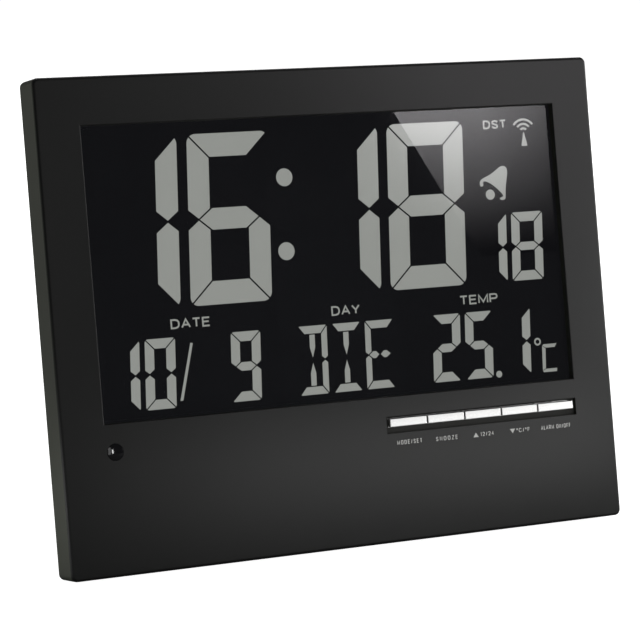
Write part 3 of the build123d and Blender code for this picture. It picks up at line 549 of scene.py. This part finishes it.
# Radio mast: its middle line, waves as (rise, inner, outer, half angle), foot and tip as (rise, half width)
MAST_X = 86.49
WAVES = ((152.43, 4.95, 5.75, 52), (152.68, 2.95, 3.75, 50), (152.58, 1.3, 2.15, 48))
MAST_FOOT = (147.44, 1.38)
MAST_TIP = (152.93, 0.12)
# Alarm bell: clapper, and outline in steps to the right of and down from an origin
CLAPPER = (69.55, 129.28, 2.0)
BELL_ORIGIN = (61.63, 161.62)
BELL_STEPS = (0.04166, 0.04105)
BELL = (
    (95, 704), (88, 675), (100, 646), (140, 624), (200, 600), (258, 566), (308, 532), (350, 524),
    (382, 546), (388, 592), (376, 650), (364, 706), (356, 762), (352, 806), (344, 836), (318, 846),
    (292, 838), (294, 822), (316, 816), (324, 800), (300, 768), (252, 722), (210, 690), (168, 666),
    (134, 660), (122, 672), (126, 690), (114, 706),
)
KEYS = ("mode_button", "snooze_button", "up_button", "down_button", "alarm_button")
PLUNGERS = ("mode_plunger", "snooze_plunger", "up_plunger", "down_plunger", "alarm_plunger")


# Shares of a setting's colour
BACK_TINT = 1.4  # rear shell, over the front one
GROUND_BODY = 0.5  # display ground's own colour; the rest glows
LIT_BODY = 0.2  # lit segments' own colour; the rest glows


class CLOCK_OT_case(bpy.types.Operator):
    """Finish the two moulded shells, the battery door and the leg"""
    bl_idname = "clock.case"
    bl_label = "Case"

    def execute(self, context):
        looks = context.scene.clock_case
        shell = finish(
            "charcoal_moulding", looks.shell_colour, looks.shell_roughness, grain=1400, grain_height=0.006,
            spread=0.06, roughness_spread=0.02, specular=0.3, side_roughness=0.6,
            # The side colour is light painted on the faces square to the front, and the near-black edge
            # colour is shade painted on the roundings
            painted_side_light=(0.019, 0.021, 0.015), painted_edge_shade=(0.001, 0.001, 0.001),
        )
        dress(shell, "front_case")
        back = finish(
            "grained_moulding", [c * BACK_TINT for c in looks.shell_colour], 0.48, grain=1500,
            grain_height=0.03, spread=0.1, roughness_spread=0.06, specular=0.4,
        )
        dress(back, "rear_case", "battery_door", "stand_leg")
        steel = finish(
            "zinc_plated_steel", (0.42, 0.42, 0.43), 0.32, metallic=1, grain=3000, grain_height=0.004,
        )
        dress(steel, "case_screws", "holder_screws", "board_screws", "stand_pin")
        return {"FINISHED"}


class CLOCK_OT_display(bpy.types.Operator):
    """Make the clear lens, the dark display and its lit digits"""
    bl_idname = "clock.display"
    bl_label = "Display"

    def execute(self, context):
        looks = context.scene.clock_display
        lens = finish(
            "clear_lens", (0.97, 0.98, 0.98), 0.012, grain=60, grain_height=0, spread=0.01,
            roughness_spread=0.006, transmission=1, ior=1.49,
        )
        dress(lens, "display_lens")
        ground = finish(
            "dark_polariser", [c * GROUND_BODY for c in looks.ground_colour], 0.06, grain=500,
            grain_height=0, spread=0.1, roughness_spread=0.01, specular=0.05, glow=looks.ground_colour,
            glow_strength=0.9,
        )
        dress(ground, "front_polariser", "rear_polariser")
        pane = finish(
            "display_glass", (0.9, 0.94, 0.93), 0.02, grain=60, grain_height=0, transmission=1, ior=1.52,
        )
        dress(pane, "front_glass", "rear_glass")
        guide = finish("clear_guide", (0.93, 0.95, 0.95), 0.08, grain=400, transmission=0.85, ior=1.49)
        dress(guide, "light_guide")
        lit = finish(
            "lit_segment", [c * LIT_BODY for c in looks.digit_colour], 0.13, grain=500, grain_height=0,
            spread=0.03, roughness_spread=0.02, specular=0.6, ior=1.8, glow=looks.digit_colour,
            glow_strength=1.0,
        )
        depth = looks.digit_depth / MM
        for name, (sizes, figures) in ROWS.items():
            outlines = []
            for figure, left in figures:
                cell = Cell(left, *sizes, looks.letter_slant if name == "day_letters" else looks.slant)
                outlines += [cell.segment(letter) for letter in LIT[figure]]
            flat_piece(name, outlines, depth, lit)
        flat_piece("colon_dots", [circle(*dot) for dot in COLON_DOTS], depth, lit)
        flat_piece("date_slash", [DATE_SLASH], depth, lit)
        flat_piece("decimal_point", [circle(*DECIMAL_POINT)], depth, lit)
        ring = band(*DEGREE_RING, 0, 360, 40)
        flat_piece("temperature_unit", [ring, *DEGREE_LETTER], depth, lit)
        for name, text, box, stroke in WORDS:
            word(name, text, box, stroke, WORD_GAP, depth, lit)
        return {"FINISHED"}


class CLOCK_OT_icons(bpy.types.Operator):
    """Draw the radio mast and the alarm bell on the display"""
    bl_idname = "clock.icons"
    bl_label = "Display icons"

    def execute(self, context):
        depth = context.scene.clock_display.digit_depth / MM
        lit = bpy.data.materials["lit_segment"]
        mast = [band(MAST_X, rise, inner, outer, 90 - half, 90 + half) for rise, inner, outer, half in WAVES]
        (low, wide), (high, narrow) = MAST_FOOT, MAST_TIP
        mast.append([
            (MAST_X - wide, low), (MAST_X + wide, low), (MAST_X + narrow, high), (MAST_X - narrow, high),
        ])
        flat_piece("radio_mast_icon", mast, depth, lit)
        (x, y), (right, down) = BELL_ORIGIN, BELL_STEPS
        bell = smooth_outline([(x + right * u, y - down * v) for u, v in BELL])
        flat_piece("alarm_bell_icon", [bell, circle(*CLAPPER)], depth, lit)
        return {"FINISHED"}


class CLOCK_OT_keys(bpy.types.Operator):
    """Finish the silver keys, paint shade on their trough's floor with a dark sheet and print the legends
    below them
    """
    bl_idname = "clock.keys"
    bl_label = "Keys and legends"

    def execute(self, context):
        looks = context.scene.clock_case
        silver = finish(
            "silver_lacquer", looks.key_colour, 0.2, metallic=0.85, grain=2500, grain_height=0.002,
            spread=0.03, roughness_spread=0.03,
        )
        dress(silver, *KEYS)
        black = finish("black_plunger", (0.012, 0.012, 0.013), 0.5, grain=1500)
        dress(black, *PLUNGERS, "key_switches")
        ink = finish(
            "legend_ink", looks.legend_colour, 0.6, grain=4000, grain_height=0, spread=0.08, specular=0.2,
        )
        for name, text, box, gap in LEGENDS:
            word(name, text, box, LEGEND_STROKE, gap, LEGEND_DEPTH, ink)
        # A near-black sheet laid over the trough's floor round the keys' slot is painted shade
        shade_finish = finish(
            "painted_trough_shade", (0.018, 0.018, 0.0165), 0.7, grain=3000, grain_height=0.01, specular=0.15,
        )
        left, low, right, high = TROUGH_SHADE
        slot_left, slot_low, slot_right, slot_high = KEY_SLOT
        trough_shade_outlines = [
            [(left, low), (right, low), (right, slot_low), (left, slot_low)],
            [(left, slot_high), (right, slot_high), (right, high), (left, high)],
            [(left, slot_low), (slot_left, slot_low), (slot_left, slot_high), (left, slot_high)],
            [(slot_right, slot_low), (right, slot_low), (right, slot_high), (slot_right, slot_high)],
        ]
        flat_piece("trough_shade_sheet", trough_shade_outlines, TROUGH_SHADE_DEPTH, shade_finish)
        flat_piece("arrow_legends", ARROWS, LEGEND_DEPTH, ink)
        return {"FINISHED"}


class CLOCK_OT_sensor(bpy.types.Operator):
    """Finish the light sensor's dome, its cell and the thermometer bead"""
    bl_idname = "clock.sensor"
    bl_label = "Light sensor"

    def execute(self, context):
        dome = finish(
            "smoked_dome", (0.004, 0.004, 0.0045), 0.1, grain=300, grain_height=0, spread=0.05,
            roughness_spread=0.03, specular=0.2,
        )
        dress(dome, "sensor_lens")
        cell = finish("photocell_resin", (0.45, 0.14, 0.06), 0.2, grain=2500, spread=0.3, coat=0.5)
        dress(cell, "photocell")
        bead = finish("bead_resin", (0.02, 0.02, 0.022), 0.25, grain=1500, coat=0.3)
        dress(bead, "thermistor")
        return {"FINISHED"}


class CLOCK_OT_inside(bpy.types.Operator):
    """Finish the boards, the receiver, the backlight and the batteries"""
    bl_idname = "clock.inside"
    bl_label = "Inside"

    def execute(self, context):
        finishes = (
            (("main_board", "receiver_board", "key_board", "sensor_board", "led_strip"),
             finish("green_board", (0.018, 0.12, 0.045), 0.3, grain=700, spread=0.2, coat=0.3)),
            (("display_holder", "antenna_saddles"),
             finish("white_moulding", (0.72, 0.72, 0.69), 0.5, grain=1200, spread=0.03)),
            (("reflector_sheet",), finish("white_film", (0.85, 0.85, 0.85), 0.35, grain=300, spread=0.02)),
            (("led_lamps",), finish("lamp_resin", (0.8, 0.72, 0.3), 0.3, grain=2000, spread=0.1, coat=0.4)),
            (("contact_strips",), finish("grey_rubber", (0.1, 0.1, 0.11), 0.7, grain=4000, spread=0.25)),
            (("controller_chip",),
             finish("black_resin", (0.01, 0.01, 0.011), 0.25, grain=400, grain_height=0.05)),
            (("clock_crystal", "positive_contact", "negative_contact", "bridge_contacts"),
             finish("nickel_plate", (0.7, 0.69, 0.66), 0.2, metallic=1, grain=2500, grain_height=0.004)),
            (("capacitor",), finish("capacitor_sleeve", (0.015, 0.02, 0.09), 0.25, grain=1200, coat=0.3)),
            (("ferrite_rod",),
             finish("dull_ferrite", (0.035, 0.034, 0.034), 0.6, grain=2000, grain_height=0.06)),
            (("antenna_coil",),
             finish("copper_winding", (0.5, 0.17, 0.06), 0.3, metallic=0.8, grain=2200, grain_height=0.08)),
            (("buzzer",), finish("buzzer_moulding", (0.014, 0.014, 0.015), 0.45, grain=1500)),
            (tuple(f"battery_{i}" for i in range(1, 5)),
             finish("cell_sleeve", (0.2, 0.22, 0.26), 0.25, metallic=0.3, grain=200, spread=0.15, coat=0.4)),
        )
        for names, material in finishes:
            dress(material, *names)
        return {"FINISHED"}


# Camera's place in mm, from the middle of the front face's lower edge
CAMERA_PLACE = (-431.42, -863.35, 257.4)
SENSOR_WIDTH = 36
NEAR_CLIP, FAR_CLIP = 0.05, 60


class CLOCK_OT_camera(bpy.types.Operator):
    """Set up the camera at the photograph's viewing angle"""
    bl_idname = "clock.camera"
    bl_label = "Camera"

    def execute(self, context):
        look = context.scene.clock_stage
        lens = bpy.data.cameras.new("clock_camera")
        lens.lens = look.focal_length
        lens.sensor_width = SENSOR_WIDTH
        lens.clip_start, lens.clip_end = NEAR_CLIP, FAR_CLIP
        camera = bpy.data.objects.new("clock_camera", lens)
        context.scene.collection.objects.link(camera)
        a, e = look.azimuth, look.elevation
        towards = Vector((sin(a) * cos(e), -cos(a) * cos(e), sin(e)))
        camera.location = CORNER + Vector(CAMERA_PLACE) * MM
        camera.rotation_mode = "QUATERNION"
        camera.rotation_quaternion = (-towards).to_track_quat("-Z", "Y")
        context.scene.camera = camera
        return {"FINISHED"}


def area_light(name, location, target, width, height, power, colour=(1, 1, 1), lights=None):
    """Makes a soft rectangular studio light; lights is the only collection that it lights, if given."""
    data = bpy.data.lights.new(name, "AREA")
    data.shape = "RECTANGLE"
    data.size, data.size_y, data.energy, data.color = width, height, power, colour
    lamp = bpy.data.objects.new(name, data)
    bpy.context.scene.collection.objects.link(lamp)
    lamp.location = location
    lamp.visible_camera = False
    lamp.rotation_euler = (Vector(target) - Vector(location)).to_track_quat("-Z", "Y").to_euler()
    if lights:
        lamp.light_linking.receiver_collection = lights


def reflection_frame(x, rise, distance):
    """Plane at that distance from the lens on which a point (x, rise) is seen mirrored at (x, rise).

    Its own lengths are those of the clock, so a card drawn on it in mm shows there on the lens.
    """
    eye = bpy.context.scene.camera.location

    def mirrored(x, rise):
        start = place(x, LENS_DEPTH, rise)
        return start, (start - eye).normalized().reflect(-BACK)

    start, axis = mirrored(x, rise)
    centre = start + axis * distance

    def meets(x, rise):
        start, ray = mirrored(x, rise)
        return start + ray * ((centre - start).dot(axis) / ray.dot(axis))

    across = (meets(x + 1, rise) - centre) / MM
    along = (meets(x, rise + 1) - centre) / MM
    turned = Matrix((across, along, across.cross(along).normalized())).transposed().to_4x4()
    origin = centre - across * (x * MM) - along * (rise * MM)
    return Matrix.Translation(origin) @ turned


def lit_group(name, pieces, state="INCLUDE"):
    """Collection for a light: the only pieces that it lights, or with EXCLUDE those that it leaves out."""
    group = bpy.data.collections.new(name)
    for piece in pieces:
        group.objects.link(nodes.get(piece) or bpy.data.objects[piece])
    for member in group.collection_objects:
        member.light_linking.link_state = state
    return group


FADE_CURVE = 1.8  # power by which a card comes in along its height


def card(name, outline, matrix, strength, lights, colour=(1, 1, 1), fade=None, dim=None):
    """Makes a softbox card that only reflections show, for the pieces of the collection lights.

    fade is the heights between which it comes in. dim is the places across between which it grows dimmer,
    and then the share of its strength that is left.
    """
    mesh = bpy.data.meshes.new(name)
    mesh.from_pydata([(x * MM, y * MM, 0) for x, y in outline], [], [range(len(outline))])
    piece = bpy.data.objects.new(name, mesh)
    bpy.context.scene.collection.objects.link(piece)
    piece.matrix_world = matrix
    piece.visible_camera = False
    piece.visible_shadow = False
    cloth = bpy.data.materials.new(name + "_cloth")
    cloth.use_nodes = True
    tree = cloth.node_tree
    tree.nodes.clear()
    lamp = tree.nodes.new("ShaderNodeEmission")
    out = tree.nodes.new("ShaderNodeOutputMaterial")
    tree.links.new(lamp.outputs["Emission"], out.inputs["Surface"])
    lamp.inputs["Color"].default_value = (*colour, 1)
    lamp.inputs["Strength"].default_value = strength
    if fade:
        where = tree.nodes.new("ShaderNodeTexCoord")
        parts = tree.nodes.new("ShaderNodeSeparateXYZ")
        tree.links.new(where.outputs["Object"], parts.inputs["Vector"])
        height = ramp(tree, parts.outputs["Y"], fade[0] * MM, fade[1] * MM)
        side = ramp(tree, parts.outputs["X"], dim[0] * MM, dim[1] * MM, strength, strength * dim[2])
        both = calculate(tree, "MULTIPLY", calculate(tree, "POWER", height, FADE_CURVE), side)
        tree.links.new(both, lamp.inputs["Strength"])
    mesh.materials.append(cloth)
    piece.light_linking.receiver_collection = lights


# Places on the lens, as (x, rise) in mm, and distances from it in metres, of the cards' planes
FAR_PLANE = (75, 130, 0.45)
NEAR_PLANE = (40, 35, 0.14)
# The glare on the lens's upper right has a slanting left edge
GLARE = ((62.0, 105), (-12.8, 230), (330, 230), (330, 105))
GLARE_STRENGTH = 3.95
GLARE_COLOUR = (1, 0.97, 1)
GLARE_FADE = (105, 161)
GLARE_DIM = (66, 97, 0.5)
# Cards that show as soft patches on the front: plane, left, low, right, high and strength
FRONT_CARDS = (
    ("side_card", FAR_PLANE, 107, 42, 200, 140, 4.5),
    ("low_card", NEAR_PLANE, -62, 17, 107, 50, 2.3),
    ("low_left_card", NEAR_PLANE, -112, 16, -62, 50, 1.2),
    ("left_card", FAR_PLANE, -220, 60, -122, 170, 0.8),
    ("top_card", FAR_PLANE, -110, 182, -20, 235, 1.4),
)
FLOOR_HALF = 12
FRONT_MIDDLE = (0, 0, 90)
DOME_PLACE = (-94.6, 0, 45)
LEFT_TINT = (0.96, 1, 0.86)
ROOM_COLOUR = (0.9, 0.95, 1, 1)
ROOM_STRENGTH = 0.04


class CLOCK_OT_stage(bpy.types.Operator):
    """Lay the pale floor and set up the soft lights"""
    bl_idname = "clock.stage"
    bl_label = "Floor and lights"

    def execute(self, context):
        look = context.scene.clock_stage
        context.scene.view_settings.view_transform = "Standard"
        mesh = bpy.data.meshes.new("floor")
        half = FLOOR_HALF
        corners = [(-half, -half, 0), (half, -half, 0), (half, half, 0), (-half, half, 0)]
        mesh.from_pydata(corners, [], [(0, 1, 2, 3)])
        floor = bpy.data.objects.new("floor", mesh)
        context.scene.collection.objects.link(floor)
        mesh.materials.append(finish(
            "light_table", look.floor_colour, 0.8, grain=40, grain_height=0, spread=0.01, specular=0.1,
            glow=(1, 1, 1), glow_strength=look.floor_glow,
        ))
        # The cards, the fill light, the low side light and the floor's glow leave out the smoked dome, and
        # the floor's glow also leaves out the front shell
        dome_only = lit_group("dome_only", ("sensor_lens",))
        all_but_dome = lit_group("all_but_dome", ("sensor_lens",), "EXCLUDE")
        face_only = lit_group("face_only", ("front_case", "trough_shade_sheet", *KEYS))
        all_but_face = lit_group("all_but_face", ("sensor_lens", "front_case"), "EXCLUDE")
        floor.light_linking.receiver_collection = all_but_face
        planes = {plane: reflection_frame(*plane) for plane in (FAR_PLANE, NEAR_PLANE)}
        card(
            "glare_card", GLARE, planes[FAR_PLANE], GLARE_STRENGTH, all_but_dome, GLARE_COLOUR, GLARE_FADE,
            GLARE_DIM,
        )
        for name, plane, left, low, right, high, strength in FRONT_CARDS:
            outline = [(left, low), (left, high), (right, high), (right, low)]
            card(name, outline, planes[plane], strength, face_only)
        middle = place(*FRONT_MIDDLE)
        area_light("overhead_light", (0.2, 0.9, 1.5), (0, 0.1, 0), 1.2, 1.2, 12)
        area_light("rear_light", (0.9, 1.6, 0.9), middle, 1.2, 1.0, 22)
        area_light("edge_light", (1.5, -0.35, 0.3), middle, 0.5, 0.6, 10)
        dome = place(*DOME_PLACE)
        area_light("spark_light", (-0.09, -1.05, 0.3), dome, 0.12, 0.4, 8, lights=dome_only)
        area_light("crescent_light", (-0.35, -0.81, 0.22), dome, 0.2, 0.8, 2.2, lights=dome_only)
        area_light("fill_light", (-0.8, -1.15, 0.3), middle, 1.5, 0.6, 2.2, lights=face_only)
        area_light(
            "low_side_light", (-0.16, -0.02, 0.027), (-0.115, -0.02, 0.025), 0.03, 0.03, 0.019,
            lights=face_only,
        )
        area_light("left_light", (-1.3, 1.1, 0.15), middle, 0.9, 0.9, 8.6, LEFT_TINT)
        world = bpy.data.worlds.new("studio_room")
        context.scene.world = world
        world.use_nodes = True
        background = world.node_tree.nodes["Background"]
        background.inputs["Color"].default_value = ROOM_COLOUR
        background.inputs["Strength"].default_value = ROOM_STRENGTH
        return {"FINISHED"}


class CLOCK_PT_panel(bpy.types.Panel):
    """Steps that dress the clock"""
    bl_idname = "CLOCK_PT_panel"
    bl_label = "Wall clock"
    bl_space_type = "VIEW_3D"
    bl_region_type = "UI"
    bl_category = "Clock"

    def draw(self, context):
        for step in STEPS:
            self.layout.operator(step.bl_idname)
        for group in (context.scene.clock_case, context.scene.clock_display, context.scene.clock_stage):
            for name in group.__annotations__:
                self.layout.prop(group, name)


STEPS = (
    CLOCK_OT_camera, CLOCK_OT_case, CLOCK_OT_display, CLOCK_OT_icons, CLOCK_OT_keys, CLOCK_OT_sensor,
    CLOCK_OT_inside, CLOCK_OT_stage,
)
GROUPS = (CaseSettings, DisplaySettings, StageSettings)


def register():
    for item in (*GROUPS, *STEPS, CLOCK_PT_panel):
        bpy.utils.register_class(item)
    bpy.types.Scene.clock_case = PointerProperty(type=CaseSettings)
    bpy.types.Scene.clock_display = PointerProperty(type=DisplaySettings)
    bpy.types.Scene.clock_stage = PointerProperty(type=StageSettings)


def unregister():
    del bpy.types.Scene.clock_case
    del bpy.types.Scene.clock_display
    del bpy.types.Scene.clock_stage
    for item in reversed((*GROUPS, *STEPS, CLOCK_PT_panel)):
        bpy.utils.unregister_class(item)


def main():
    register()
    bpy.ops.clock.camera()
    bpy.ops.clock.case()
    bpy.ops.clock.display()
    bpy.ops.clock.icons()
    bpy.ops.clock.keys()
    bpy.ops.clock.sensor()
    bpy.ops.clock.inside()
    bpy.ops.clock.stage()


if __name__ == "__main__":
    main()
